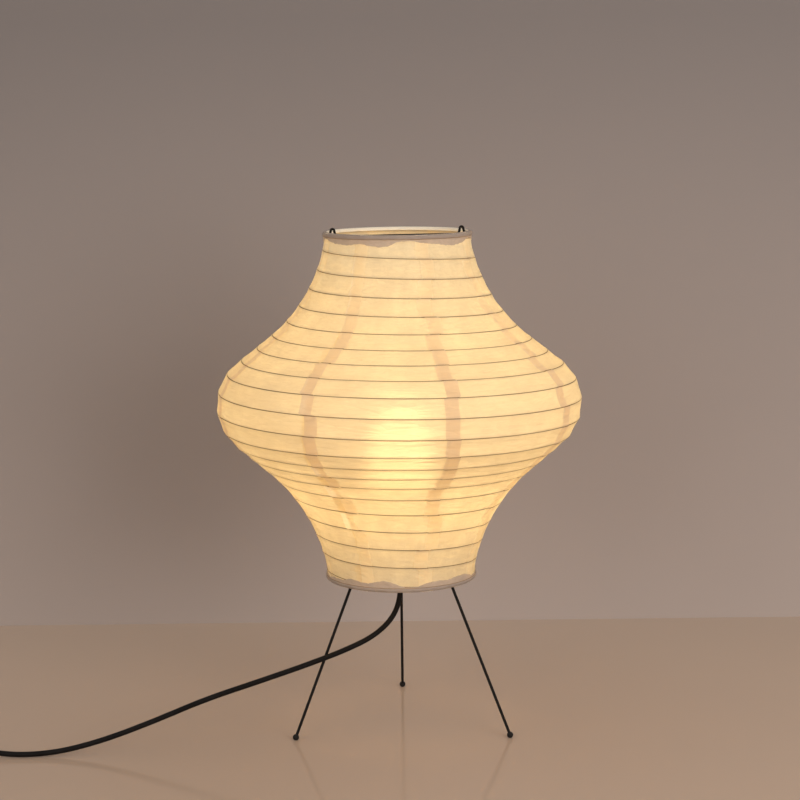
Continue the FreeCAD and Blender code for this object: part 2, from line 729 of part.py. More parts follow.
def paper_sector(halves, inner, outer, with_hems, start, end):
    """A layer of paper between two distances from the outline, over a range of angles."""
    ways = outline_pieces(halves, outer, with_hems)
    back = [piece[::-1] for piece in outline_pieces(halves, inner, with_hems)[::-1]]
    ways = ways + [[ways[-1][-1], back[0][0]]] + back + [[back[-1][-1], ways[0][0]]]
    edges = [(Part.Arc if len(piece) == 3 else Part.LineSegment)(*piece).toShape()
             for piece in ways]
    face = Part.Face(Part.Wire(edges))
    solid = face.revolve(Vector(), Vector(0, 0, 1), end - start)
    solid.rotate(Vector(), Vector(0, 0, 1), start)
    return solid


def make_gores(halves):
    count, wall, gap = int(size("gore_count")), size("paper_wall"), size("paper_gap")
    half_lap = math.degrees(size("seam_lap / belly_radius")) / 2
    slit = math.degrees(gap / size("belly_radius"))
    fold = half_lap / 3
    for index in range(count):
        start = size("first_seam") + 360 / count * index - half_lap
        end = start + 360 / count - slit
        panel = paper_sector(halves, -wall, 0, True, start, end)
        step = paper_sector(halves, -wall / 2, gap + wall / 2, False, end - fold, end)
        flap = paper_sector(halves, gap, gap + wall, False, end - fold, end + 2 * half_lap)
        feature(f"paper_gore_{index + 1}", panel.fuse([step, flap]))


def make_rib(halves):
    """One thin cane wound under the paper from hem to hem.  Its pitch is even along the paper
    but for a stretch below the belly, where the turns sit higher.  Its top end stops short of
    an upright of the stretcher wire that it would meet."""
    inward = -size("paper_step + rib_wire / 2")
    pitch, front = size("rib_pitch"), size("rib_front_start")
    whole = sum(halves[0].lengths) + sum(halves[1].lengths)
    first, last = size("hem_depth"), whole - size("hem_depth")
    rise, rise_at, rise_width = size("rib_rise"), size("rib_rise_at"), size("rib_rise_width")

    def at(along):
        radius, height = shade_spot(halves, along, inward)
        high = rise * math.exp(-((along - rise_at) / rise_width) ** 2 / 2)
        angle = math.radians(-90) - math.tau * (along - high - front) / pitch
        return Vector(radius * math.cos(angle), radius * math.sin(angle), height)

    turn = math.radians(size("stretcher_turn"))
    upright = Vector(math.cos(turn), math.sin(turn), 0) * size("top_ring_radius")
    clear = size("(stretcher_wire + rib_wire) / 2 + weld_gap")

    def meets_upright(along):
        spot = at(along)
        spot.z = 0
        return min((spot - upright).Length, (spot + upright).Length) < clear

    tries = [last - pitch * step / RIB_TRIES for step in range(2 * RIB_TRIES)]
    last = min((along for along in tries if meets_upright(along)), default=last)
    quarter = pitch / 4
    count = int((last - first) / quarter)
    stations = [first + quarter * (index + 0.5) for index in range(count)]
    tiny = 0.01
    ways = [(at(along + tiny) - at(along - tiny)).normalize() for along in stations]
    path = Part.Wire(biarc_path([at(along) for along in stations], ways))
    wire = size("rib_wire")
    gap = least_self_gap(path, wire, 4 * pitch, pitch / 3)
    print("shade_rib turns", round((count - 1) / 4, 2), "least gap to itself", round(gap, 2))
    feature("shade_rib", tube("shade_rib", path, wire))


def make_shade():
    halves = (
        HalfProfile(size("bottom_mouth"), size("lower_waist_bend"), size("belly_height")),
        HalfProfile(size("top_mouth"), size("upper_waist_bend"), size("shade_height - belly_height")))
    make_gores(halves)
    make_rib(halves)
    for end in ("top", "bottom"):
        ring = primitive("Torus", f"{end}_ring_wire",
                         {"Radius1": f"{end}_ring_radius", "Radius2": "ring_wire / 2"},
                         z=f"{end}_ring_height")
        sub_part(ring, f"{end}_ring")
    for end, edge, inward in (("top", "shade_top", -1), ("bottom", "shade_bottom", 1)):
        inner, outer = f"{end}_mouth + paper_gap", f"{end}_mouth + paper_step"
        under = f"{edge} - {inward} * turning_gap"
        over = f"{under} - {inward} * paper_wall"
        depth = f"{edge} + {inward} * (hem_depth - 2 * paper_gap)"
        sub_part(turned(f"{end}_band", [
            (inner, depth), (outer, depth), (outer, over), (f"{end}_ring_radius", over),
            (f"{end}_ring_radius", under), (inner, under)]), f"{end}_hem")


# Cord, coil and tie
def make_cord():
    cord, entry, low = size("cord"), size("split_height"), size("lower_layer")
    inside, run_in = size("cord_inside"), size("cord_run_in")
    far_end = SWITCH_NEAR_END - size("switch_length")
    lead = [(0, 0, size("grip_bottom")), *CORD_ROUTE,
            (SWITCH_NEAR_END + run_in, CORD_LINE, entry),
            (SWITCH_NEAR_END - inside, CORD_LINE, entry)]
    link = [(far_end + inside, CORD_LINE, entry), (far_end - run_in + inside, CORD_LINE, entry),
            (COIL_START + run_in - inside, CORD_LINE, low), (COIL_START, CORD_LINE, low)]
    for label, route in (("cord_lead", lead), ("cord_link", link)):
        points = [Vector(*point) for point in route]
        feature(label, tube(label, bent_path(points, cord_bends(label, points)), cord))
    make_coil(cord)


def make_coil(cord):
    """Turns that spiral in on the floor and out again on top, climbing where they reverse."""
    outermost, pitch = size("loop_radius"), size("loop_pitch")
    low, high = size("lower_layer"), size("upper_layer")
    start = Vector(COIL_START, CORD_LINE, 0)
    centre = start + Vector(-cord, outermost, 0)
    middle = COIL_TURNS / 2

    def at(turn):
        radius = outermost - pitch * min(turn, COIL_TURNS - turn)
        climb = min(max((turn - middle + 0.25) / 0.5, 0), 1)
        height = low + (high - low) * (1 - math.cos(math.pi * climb)) / 2
        angle = -math.pi / 2 - math.tau * turn
        return centre + Vector(radius * math.cos(angle), radius * math.sin(angle), height)

    turns = [index / 4 for index in range(int(COIL_TURNS * 4) + 1)]
    tiny = 0.001
    ways = [(at(turn + tiny) - at(turn - tiny)).normalize() for turn in turns]
    ways[0], ways[-1] = Vector(-1, 0, 0), Vector(1, 0, 0)
    edges = biarc_path([at(turn) for turn in turns], ways)
    lead_in = start + Vector(0, 0, low)
    lead_out = at(COIL_TURNS) + Vector(size("plug_run"), 0, 0)
    path = Part.Wire([Part.LineSegment(lead_in, at(0)).toShape(), *edges,
                      Part.LineSegment(at(COIL_TURNS), lead_out).toShape()])
    gap = least_self_gap(path, cord, 8 * cord, cord / 2)
    print("cord_coil turns", COIL_TURNS, "least gap to itself", round(gap, 2))
    feature("cord_coil", tube("cord_coil", path, cord))
    make_tie(centre, at(middle).sub(centre), at(0.75).sub(centre), high)
    make_plug(lead_out)


def make_tie(centre, innermost, outermost, high):
    """A flat strap round the turns, on the side of the coil that faces the lamp."""
    wall, width, cord = size("tie_wall"), size("tie_width"), size("cord")
    room = size("tie_gap") + cord / 2
    inner_turn, outer_turn = math.hypot(*innermost[:2]), math.hypot(*outermost[:2])
    bow = width ** 2 / (8 * inner_turn)
    inner, outer = inner_turn - bow - room, outer_turn + room
    top = high + room
    strap = Part.makeBox(outer - inner + 2 * wall, width, top + wall,
                         Vector(inner - wall, -width / 2, 0))
    hole = Part.makeBox(outer - inner, 2 * width, top - wall, Vector(inner, -width, wall))
    edges = [edge for edge in strap.Edges if edge.tangentAt(0).y ** 2 > 0.9]
    strap = strap.makeFillet(cord / 2, edges)
    hole = hole.makeFillet(cord / 2 - wall, [edge for edge in hole.Edges
                                             if edge.tangentAt(0).y ** 2 > 0.9])
    feature("cord_tie", strap.cut(hole)).Placement = Placement(centre, Rotation())


# Switch on the cord
def rounded_box(name, length, width, height, x, y, z, corner, edge):
    """A box along X with rounded corners and a softened top."""
    box = primitive("Box", f"{name}_box", {"Length": length, "Width": width, "Height": height},
                    x, y, z)
    doc.recompute()
    upright = [index for index, side in enumerate(box.Shape.Edges, start=1)
               if abs(side.tangentAt(0).z) > 0.9]
    rounded = doc.addObject("Part::Fillet", f"{name}_corners")
    rounded.Base = box
    rounded.Edges = [(index, size(corner), size(corner)) for index in upright]
    doc.recompute()
    highest = rounded.Shape.BoundBox.ZMax
    rim = [index for index, side in enumerate(rounded.Shape.Edges, start=1)
           if side.BoundBox.ZMin > highest - 0.01]
    softened = doc.addObject("Part::Fillet", f"{name}_rim")
    softened.Base = rounded
    softened.Edges = [(index, size(edge), size(edge)) for index in rim]
    return softened


def common(name, base, tool):
    both = doc.addObject("Part::Common", name)
    both.Base, both.Tool = base, tool
    return both


def fuse(name, pieces):
    joined = doc.addObject("Part::MultiFuse", name)
    joined.Shapes = pieces
    return joined


def switch_middle():
    return Vector(SWITCH_NEAR_END - size("switch_length") / 2, CORD_LINE, 0)


def at_switch(obj):
    obj.Placement = Placement(switch_middle(), Rotation())
    return obj


def switch_box(name, length, width, height, z, x="0", y="0"):
    """A box centred on a point of the switch's own frame, standing at a height."""
    return primitive("Box", name, {"Length": length, "Width": width, "Height": height},
                     f"{x} - ({length}) / 2", f"{y} - ({width}) / 2", z)


def make_switch():
    body = rounded_box("switch", "switch_length", "switch_width", "switch_height",
                       "-switch_length / 2", "-switch_width / 2", "0",
                       "switch_corner", "switch_edge")
    room_wide = "switch_width - 2 * switch_wall"
    room = rounded_box("switch_room", "switch_inside", room_wide, "switch_height - 2 * switch_wall",
                       "-switch_inside / 2", f"-({room_wide}) / 2", "switch_wall",
                       "switch_corner - switch_wall", "switch_edge / 2")
    way = lying_cylinder("switch_way", "cord / 2 + turning_gap", "switch_length * 2",
                         Vector(1, 0, 0), "-switch_length", "0", "split_height")
    hollow = cut("switch_hollow", body, [room, way])
    low = switch_box("switch_low_half", "2 * switch_length", "2 * switch_width",
                     "split_height", "0")
    high = switch_box("switch_high_half", "2 * switch_length", "2 * switch_width",
                      "split_height", "split_height")
    make_lower_shell(common("switch_low_shell", hollow, low))
    make_upper_shell(common("switch_high_shell", hollow, high))
    make_rocker()
    make_switch_screws()
    strips = [switch_box(f"contact_{index}", "strip_length", "strip_width", "strip_thickness",
                         "switch_wall", f"{sign} * (rocker_reach - strip_length / 3)")
              for index, sign in enumerate((1, -1))]
    at_switch(sub_part(group("switch_strips", strips), "switch_contacts"))


def screw_spots():
    return [("screw_along", "screw_across"), ("-screw_along", "-screw_across")]


def make_lower_shell(shell):
    post_y = "(rocker_width + post_thickness) / 2 + rocker_gap"
    posts, holes = [], []
    for index, sign in enumerate((1, -1)):
        posts.append(switch_box(f"post_{index}", "post_length", "post_thickness",
                                "pivot_height + post_over_pin - switch_wall", "switch_wall",
                                y=f"{sign} * ({post_y})"))
    pin_hole = lying_cylinder("pin_hole", "pin_radius + turning_gap / 4", "2 * switch_width",
                              Vector(0, 1, 0), "0", "-switch_width", "pivot_height")
    post_pair = cut("post_pair", fuse("posts", posts), [pin_hole])
    for index, (x, y) in enumerate(screw_spots()):
        for kind, radius, height in (("head", "screw_head + turning_gap", "screw_shank"),
                                     ("shank", "screw_shank + turning_gap", "2 * switch_wall")):
            holes.append(primitive("Cylinder", f"screw_{kind}_hole_{index}",
                                   {"Radius": radius, "Height": height}, x, y, "0"))
    lower = fuse("switch_lower", [cut("switch_tray", shell, holes), post_pair])
    at_switch(sub_part(lower, "switch_lower_shell"))


def make_upper_shell(shell):
    half = "sqrt(rocker_swing^2 - (pivot_drop - switch_wall)^2) + rocker_gap"
    window = switch_box("window", f"2 * ({half})", "rocker_width + 2 * rocker_gap",
                        "2 * switch_wall", "switch_height - 1.5 * switch_wall")
    bosses, holes = [], []
    for index, (x, y) in enumerate(screw_spots()):
        bosses.append(primitive("Cylinder", f"boss_{index}",
                                {"Radius": "screw_head", "Height": "split_height - switch_wall / 2"},
                                x, y, "split_height"))
        holes.append(primitive("Cylinder", f"boss_hole_{index}",
                               {"Radius": "screw_shank + turning_gap / 2",
                                "Height": "split_height - 2 * switch_wall"}, x, y, "split_height"))
    lid = fuse("switch_lid", [cut("switch_roof", shell, [window]), *bosses])
    at_switch(sub_part(cut("switch_upper", lid, holes), "switch_upper_shell"))


def make_rocker():
    face = "sqrt(rocker_swing^2 - rocker_reach^2)"
    foot = "sqrt(rocker_swing^2 - rocker_depth^2)"
    paddle = padded("paddle", "XZ_Plane", [
        (f"-({foot})", "-rocker_depth"), (foot, "-rocker_depth", "rocker_swing"),
        ("rocker_reach", face),
        ("0", f"{face} - rocker_dip"), ("-rocker_reach", face, "rocker_swing")], "rocker_width")
    bore = lying_cylinder("rocker_bore", "pin_radius + turning_gap / 2", "2 * rocker_width",
                          Vector(0, 1, 0), "0", "-rocker_width", "0")
    rocker = sub_part(cut("rocker", paddle, [bore]), "switch_rocker")
    pivot = switch_middle() + Vector(0, 0, size("pivot_height"))
    rocker.Placement = Placement(pivot, Rotation(Vector(0, 1, 0), -size("rocker_tilt")))
    long = "rocker_width + 2 * (rocker_gap + post_thickness)"
    pin = lying_cylinder("rocker_pin", "pin_radius", long, Vector(0, 1, 0),
                         "0", f"-({long}) / 2", "pivot_height")
    at_switch(sub_part(group("pin", [pin]), "switch_pin"))


def make_switch_screws():
    screws = []
    for index, (x, y) in enumerate(screw_spots()):
        head = primitive("Cylinder", f"screw_head_{index}",
                         {"Radius": "screw_head", "Height": "screw_shank - head_recess"},
                         x, y, "head_recess")
        shank = primitive("Cylinder", f"screw_shank_{index}",
                          {"Radius": "screw_shank", "Height": "switch_height - 3 * switch_wall"},
                          x, y, "2 * head_recess")
        screws.append(fuse(f"switch_screw_{index}", [head, shank]))
    at_switch(sub_part(group("screws", screws), "switch_screws"))


# Plug beside the coil
def make_plug(start):
    boot_end = start.x + size("boot_length")
    boot = turned("boot", [
        ("0", "0"), ("boot_mouth_radius", "0"), ("boot_radius", "boot_length - boot_collar"),
        ("boot_radius", "boot_length"), ("0", "boot_length")])
    sub_part(boot, "plug_boot")
    boot.Placement = Placement(start, Rotation(Vector(0, 0, 1), Vector(1, 0, 0)))
    body = rounded_box("plug", "plug_length", "plug_width", "2 * upper_layer",
                       "0", "-plug_width / 2", "0", "plug_round", "plug_round / 2")
    shell = group("plug_shell", [body])
    sub_part(shell, "plug_body")
    shell.Placement = Placement(Vector(boot_end, start.y, 0), Rotation())
    blades = [primitive("Box", f"blade_{index}",
                        {"Length": "blade_length", "Width": "blade_thickness",
                         "Height": "blade_width"},
                        "0", f"{sign} * blade_spacing / 2 - blade_thickness / 2",
                        "-blade_width / 2")
              for index, sign in enumerate((1, -1))]
    pair = sub_part(group("blades", blades), "plug_blades")
    pair.Placement = Placement(
        Vector(boot_end + size("plug_length"), start.y, start.z), Rotation())


make_tripod()
make_hub()
make_stretcher()
make_lampholder()
make_bulb()
make_shade()
make_cord()
make_switch()
doc.recompute()

broken = [obj.Name for obj in doc.Objects if {"Invalid", "Error"} & set(obj.State)]
broken += [obj.Label for obj in parts if obj.Shape.isNull() or not obj.Shape.isValid()]
if broken:
    raise RuntimeError(f"not built: {broken}")
os.makedirs("parts", exist_ok=True)
for obj in parts:
    obj.Shape.exportStep(os.path.join("parts", f"{obj.Label}.step"))
print(len(parts), "sub-parts written")
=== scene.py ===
import json
import math

import bpy
from mathutils import Matrix, Vector, noise


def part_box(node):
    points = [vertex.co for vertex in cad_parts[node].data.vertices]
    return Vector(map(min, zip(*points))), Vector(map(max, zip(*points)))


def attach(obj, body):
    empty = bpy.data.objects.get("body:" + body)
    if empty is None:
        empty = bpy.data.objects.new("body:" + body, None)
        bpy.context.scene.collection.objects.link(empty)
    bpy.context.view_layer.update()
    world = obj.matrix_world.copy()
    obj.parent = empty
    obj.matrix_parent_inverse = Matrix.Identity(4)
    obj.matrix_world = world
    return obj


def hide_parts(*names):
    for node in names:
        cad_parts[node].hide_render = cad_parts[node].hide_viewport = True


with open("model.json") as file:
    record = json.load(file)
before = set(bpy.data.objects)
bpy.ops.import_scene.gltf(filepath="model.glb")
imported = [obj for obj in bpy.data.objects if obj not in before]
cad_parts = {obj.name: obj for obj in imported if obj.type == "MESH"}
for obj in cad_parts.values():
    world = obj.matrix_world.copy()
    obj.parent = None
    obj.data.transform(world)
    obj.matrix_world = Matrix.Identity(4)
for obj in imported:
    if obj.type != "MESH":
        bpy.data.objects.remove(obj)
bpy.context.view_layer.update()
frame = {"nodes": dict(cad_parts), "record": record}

# A paper lantern lamp, lit, on a pale floor in front of a plain wall.
# Metres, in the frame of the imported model: the floor is z = 0 and the front is -Y.

# Camera
CAMERA_PLACE = Vector((0.0008, -2.07, 0.639))
CAMERA_TILT = math.radians(8.15)
CAMERA_ROLL = math.radians(-0.65)
FOCAL_PIXELS = 2021
IMAGE_PIXELS = 800
SENSOR_WIDTH = 36

# Flex: the route from the lampholder to the switch, and on to the coil and the plug
FLEX = 0.0055
FLEX_LINE = -0.104
FLEX_ENTRY = 0.010              # height of the flex where it enters the switch
LEAD_ROUTE = [
    (0, 0, 0.140), (-0.007, -0.012, 0.117), (-0.027, -0.030, 0.101), (-0.056, -0.048, 0.091),
    (-0.098, -0.065, 0.0795), (-0.146, -0.078, 0.0665), (-0.200, -0.087, 0.051),
    (-0.251, -0.093, 0.031), (-0.300, -0.101, 0.0145), (-0.345, -0.108, 0.0045),
    (-0.384, -0.112, 0.00275), (-0.416, -0.108, 0.0052), (-0.440, FLEX_LINE, FLEX_ENTRY),
    (-0.464, FLEX_LINE, FLEX_ENTRY),
]
LINK_ROUTE = [
    (-0.518, FLEX_LINE, FLEX_ENTRY), (-0.538, FLEX_LINE, FLEX_ENTRY),
    (-0.555, FLEX_LINE, 0.0039), (-0.571, FLEX_LINE, 0.0039),
]
COIL_CENTRE = Vector((-0.5765, -0.064, 0))
COIL_RADIUS = 0.040
COIL_TURNS = 5.5
COIL_PITCH = 0.00605
COIL_LOW, COIL_HIGH = 0.0039, 0.0099
COIL_POINTS = 16                # control points in each turn
COIL_CLIMB = 0.5                # turns over which the flex climbs to the upper layer
PLUG_RUN = 0.026                # flex from the coil into the plug's boot

# Shade: its outline is a hem, a hollow waist, a flank and a round belly at each end
SHADE_BOTTOM, SHADE_HEIGHT = 0.157, 0.360
TOP_MOUTH, BOTTOM_MOUTH = 0.075, 0.077
BELLY_RADIUS, BELLY_HEIGHT, BELLY_BEND = 0.1885, 0.184, 0.052
LOWER_WAIST_BEND, UPPER_WAIST_BEND = 0.186, 0.163
WAIST_LEAN = math.radians(10)
HEM_DEPTH = 0.009
RING_INSET, RING_WIRE = 0.0022, 0.003
GORES = 8
FIRST_SEAM = math.radians(-119.5)
SEAM_LAP = 0.014
SEAM_WANDER = 0.0058            # how far a seam steps aside at a turn of the rib
PAPER_STEP = 0.0006             # one paper over another at a seam
PAPER_ACROSS = 0.15             # metres of the paper's grain for each radian
RIB_PITCH, RIB_START = 0.0206, 0.0263
RIB_RISE, RIB_RISE_AT, RIB_RISE_WIDTH = 0.0073, 0.121, 0.030
RIB_RADIUS = 0.0006
RIB_UNEVEN, RIB_NODES = 0.12, 400   # share of its radius, and nodes for each metre up
RIB_UNDER = 0.0011              # middle of the rib under the paper
SHADOW_LINE_EDGES = (0.007, 0.025)       # edges of the painted shadow line beside the rib, where the paper is pasted, in turns
FLAT_HOLLOW = 0.0004            # paper drawn in between two turns of the rib
BELLY_HOLLOW = 0.0015           # and at the belly, where it spans the round
BELLY_REACH = 1.6               # how far that goes up and down, in belly bends
SAGS, SAG_UNEVEN = (14, 14), 0.5            # waves for each metre, across and along
DENTS, DENT_DEPTH = (22, 45), 0.00045
CREASES, CREASE_DEPTH = (60, 190), 0.00022
HEM_OUT = 0.0009                # pasted hem outside the mouth
HEM_PUCKER = 0.00018
TEAR_PATCHES, TEAR_FRAY = 0.75, 0.10        # torn edge of the hem, in hem depths
TEAR_MEAN, TEAR_LEAST = -0.08, -0.40
FRONT = -math.pi / 2

# Light and colours
BULB_LIGHT = (1.0, 0.69, 0.315)
BULB_STRENGTH = 17.8
BULB_SHINES = (0.262, 0.294)    # heights between which the bulb brightens
BULB_DIM = 0.12                 # share of its light by the cap
PAINTED_SHADOW_LINE = (0.25, 0.14, 0.045)         # paper pasted to the rib, with the cane's shadow painted in; also the hems' painted crease shadow
PAINTED_SEAM_SHADE = (0.75, 0.645, 0.53)        # light through the two papers of a seam, with painted shade by the bulb
SEAM_SHADE_HEIGHT = 0.345              # height where the painted seam shade shows most
SEAM_FADES = (0.03, 0.13)       # distances up or down over which they fade
WALL_AT = 0.42
WALL_COLOUR = (0.365, 0.298, 0.262)
# Painted shade on the wall: it darkens from its foot towards this colour.
WALL_SHADED_TOP = (0.180, 0.156, 0.146)
WALL_TOP = 0.75                 # height up to which the wall darkens, painted shade
FLOOR_COLOUR = (0.40, 0.288, 0.210)
ROOM_LIGHT = (0.62, 0.60, 0.58)

scene = bpy.context.scene
nodes = frame["nodes"]


def smooth(value):
    value = min(max(value, 0), 1)
    return value * value * (3 - 2 * value)


def add_mesh(name, verts, faces):
    mesh = bpy.data.meshes.new(name)
    mesh.from_pydata(verts, [], faces)
    mesh.shade_smooth()
    mesh.update()
    obj = bpy.data.objects.new(name, mesh)
    scene.collection.objects.link(obj)
    return obj


def stands_for(obj, body, slot, mat, *replaced):
    """Puts a new piece on its body, with its material and in place of its nodes; its slot is not
    used.
    """
    obj.data.materials.append(mat)
    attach(obj, body)
    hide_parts(*replaced)
    return obj


# Camera
def make_camera():
    camera = bpy.data.objects.new("camera", bpy.data.cameras.new("camera"))
    camera.data.sensor_width = SENSOR_WIDTH
    camera.data.lens = SENSOR_WIDTH * FOCAL_PIXELS / IMAGE_PIXELS
    turn = Matrix.Rotation(math.pi / 2 - CAMERA_TILT, 4, "X") @ Matrix.Rotation(CAMERA_ROLL, 4, "Z")
    camera.matrix_world = Matrix.Translation(CAMERA_PLACE) @ turn
    scene.collection.objects.link(camera)
    scene.camera = camera


make_camera()


# Materials
class Shader:
    """A material with its nodes, and short ways to add to them."""

    def __init__(self, name, **sockets):
        self.material = bpy.data.materials.new(name)
        self.material.use_nodes = True
        self.tree = self.material.node_tree
        self.surface = self.tree.nodes["Principled BSDF"]
        self.output = self.tree.nodes["Material Output"]
        for socket, value in sockets.items():
            self.surface.inputs[socket.replace("_", " ")].default_value = value

    def add(self, kind, settings=None, **inputs):
        node = self.tree.nodes.new(f"ShaderNode{kind}")
        for name, value in (settings or {}).items():
            setattr(node, name, value)
        for name, value in inputs.items():
            self.fill(node.inputs[name.replace("_", " ")], value)
        return node

    def fill(self, socket, value):
        """Links a socket, or sets it to a number, a vector or a colour."""
        if isinstance(value, bpy.types.NodeSocket):
            self.tree.links.new(value, socket)
        elif socket.type == "RGBA" and len(value) == 3:
            socket.default_value = (*value, 1)
        else:
            socket.default_value = value

    def join(self, source, node, name):
        self.tree.links.new(source, node.inputs[name])

    def place(self, stretch, source="Object"):
        coords = self.add("TexCoord").outputs[source]
        return self.add("Mapping", Vector=coords, Scale=stretch).outputs["Vector"]

    def cloud(self, place, scale, detail=3.0, rough=0.5):
        node = self.add("TexNoise", Vector=place, Scale=scale, Detail=detail, Roughness=rough)
        return node.outputs["Fac"]

    def between(self, amount, low, high, start=0.3, end=0.7):
        """A colour or a number that goes from low to high as the amount does."""
        if isinstance(low, (int, float)):
            node = self.add("MapRange", Value=amount, From_Min=start, From_Max=end,
                            To_Min=low, To_Max=high)
            return node.outputs["Result"]
        ramp = self.add("ValToRGB", Fac=amount)
        for stop, place, colour in zip(ramp.color_ramp.elements, (start, end), (low, high)):
            stop.position = place
            stop.color = (*colour, 1)
        return ramp.outputs["Color"]

    def math(self, operation, *values):
        node = self.add("Math", {"operation": operation})
        for socket, value in zip(node.inputs, values):
            self.fill(socket, value)
        return node.outputs[0]

    def mixed(self, share, low, high):
        """A mix of two colours, each of them fixed or from another node."""
        node = self.add("Mix", {"data_type": "RGBA"})
        colours = [socket for socket in node.inputs if socket.type == "RGBA"]
        self.fill(node.inputs["Factor"], share)
        self.fill(colours[0], low)
        self.fill(colours[1], high)
        return next(socket for socket in node.outputs if socket.type == "RGBA")

    def bump(self, height, strength, depth):
        return self.add("Bump", Height=height, Strength=strength, Distance=depth).outputs["Normal"]

    def finish(self, **inputs):
        for name, source in inputs.items():
            self.join(source, self.surface, name.replace("_", " "))
        return self.material


def coated(name, colour, worn, grain, rough, depth, metallic=0.0, **sockets):
    """A hard surface: mottled colour, uneven gloss and a fine grain."""
    shader = Shader(name, Metallic=metallic, **sockets)
    place = shader.place((1, 1, 1))
    mottle = shader.cloud(place, grain / 6, 4)
    fine = shader.cloud(place, grain, 3)
    return shader.finish(
        Base_Color=shader.between(mottle, colour, worn),
        Roughness=shader.between(mottle, *rough),
        Normal=shader.bump(fine, 0.3, depth))


def brushed(name, colour, worn, stretch, rough, depth):
    """A metal with drawn or turned lines along one way."""
    shader = Shader(name, Metallic=1.0)
    lines = shader.cloud(shader.place(stretch), 1.0, 5)
    mottle = shader.cloud(shader.place((1, 1, 1)), 90, 3)
    return shader.finish(
        Base_Color=shader.between(mottle, colour, worn),
        Roughness=shader.between(lines, *rough),
        Normal=shader.bump(lines, 0.25, depth))


def flex_sheath(name):
    """A satin black sheath with faint lengthwise draw marks and handling marks."""
    shader = Shader(name, Specular_IOR_Level=0.10)
    place = shader.place((1, 1, 1))
    mottle = shader.cloud(place, 60, 4)
    fine = shader.cloud(place, 900, 2)
    return shader.finish(
        Base_Color=shader.between(mottle, (0.005, 0.004, 0.0035), (0.009, 0.0075, 0.007)),
        Roughness=shader.between(mottle, 0.42, 0.56),
        Normal=shader.bump(fine, 0.2, 0.0002))


def paper(name, front, fibre, through, share, painted_glow, doubled=False):
    """Thin handmade paper: long fibres, uneven thickness and fine creases with painted shade, a
    share of light through it and a faint painted glow of the bulb's light.  A painted shadow line
    darkens it where it is pasted to the rib, and where doubled it has painted shade by the bulb's
    height."""
    shader = Shader(name, Roughness=0.42, Specular_IOR_Level=0.1, Emission_Strength=painted_glow[3],
                    Transmission_Weight=0.08, IOR=1.2)
    turns = shader.add("SeparateXYZ", Vector=shader.add("UVMap", {"uv_map": "rib"}).outputs[0])
    off_rib = shader.math("PINGPONG", turns.outputs["X"], 0.5)
    line = shader.between(off_rib, (0, 0, 0), (1, 1, 1), *SHADOW_LINE_EDGES)
    clouds = shader.cloud(shader.place((1, 1, 1), "UV"), scale=26, detail=5, rough=0.55)
    fibres = shader.cloud(shader.place((60, 420, 1), "UV"), scale=1.0, detail=4, rough=0.6)
    folds = shader.add("TexVoronoi", {"feature": "DISTANCE_TO_EDGE"},
                       Vector=shader.place((44, 150, 1), "UV"), Scale=1.0).outputs["Distance"]
    creases = shader.add("TexVoronoi", {"feature": "DISTANCE_TO_EDGE"},
                         Vector=shader.place((70, 330, 1), "UV"), Scale=1.0).outputs["Distance"]
    # Uneven thickness from the clouds, and painted shade along the fine creases, in the light
    # through the paper.
    thickness_and_crease_shade = shader.math("MULTIPLY", clouds, shader.between(creases, 0.84, 1.0, 0.0, 0.09))
    normal = shader.bump(folds, strength=0.45, depth=0.0025)
    fibre_normal = shader.add("Bump", Height=fibres, Strength=0.25, Distance=0.0003,
                              Normal=normal).outputs["Normal"]

    # Paints the dark shadow line where the paper is pasted to the rib, in its front, glow and
    # transmitted colours.
    def with_painted_shadow_line(colour):
        return shader.mixed(line, PAINTED_SHADOW_LINE, colour)

    seen = shader.between(thickness_and_crease_shade, *through)
    # Doubled paper: painted shade near the bulb's height, fading above and below it.
    if doubled:
        height = shader.add("SeparateXYZ", Vector=shader.place((1, 1, 1))).outputs["Z"]
        off_bulb = shader.math("ABSOLUTE", shader.math("SUBTRACT", height, SEAM_SHADE_HEIGHT))
        seen = shader.mixed(shader.between(off_bulb, 0.0, 1.0, *SEAM_FADES), PAINTED_SEAM_SHADE, seen)
    light = shader.add("BsdfTranslucent", Normal=fibre_normal, Color=with_painted_shadow_line(seen))
    shader.finish(Base_Color=with_painted_shadow_line(shader.between(fibres, front, fibre)),
                  Emission_Color=with_painted_shadow_line(painted_glow[:3]), Normal=fibre_normal)
    mix = shader.add("MixShader", Fac=share)
    shader.join(shader.surface.outputs["BSDF"], mix, 1)
    shader.join(light.outputs["BSDF"], mix, 2)
    shader.join(mix.outputs["Shader"], shader.output, "Surface")
    return shader.material


def lit(name, colour, strength):
    """Frosted glass or a filament that shines, dimmer towards the cap."""
    shader = Shader(name, Roughness=0.35, Emission_Strength=strength)
    frost = shader.cloud(shader.place((1, 1, 1)), 1400, 2)
    height = shader.add("SeparateXYZ", Vector=shader.place((1, 1, 1))).outputs["Z"]
    dim = [part * BULB_DIM for part in colour]
    return shader.finish(
        Emission_Color=shader.between(height, dim, colour, *BULB_SHINES),
        Base_Color=shader.between(frost, (0.92, 0.90, 0.86), (0.98, 0.97, 0.95)),
        Normal=shader.bump(frost, 0.2, 0.0002))


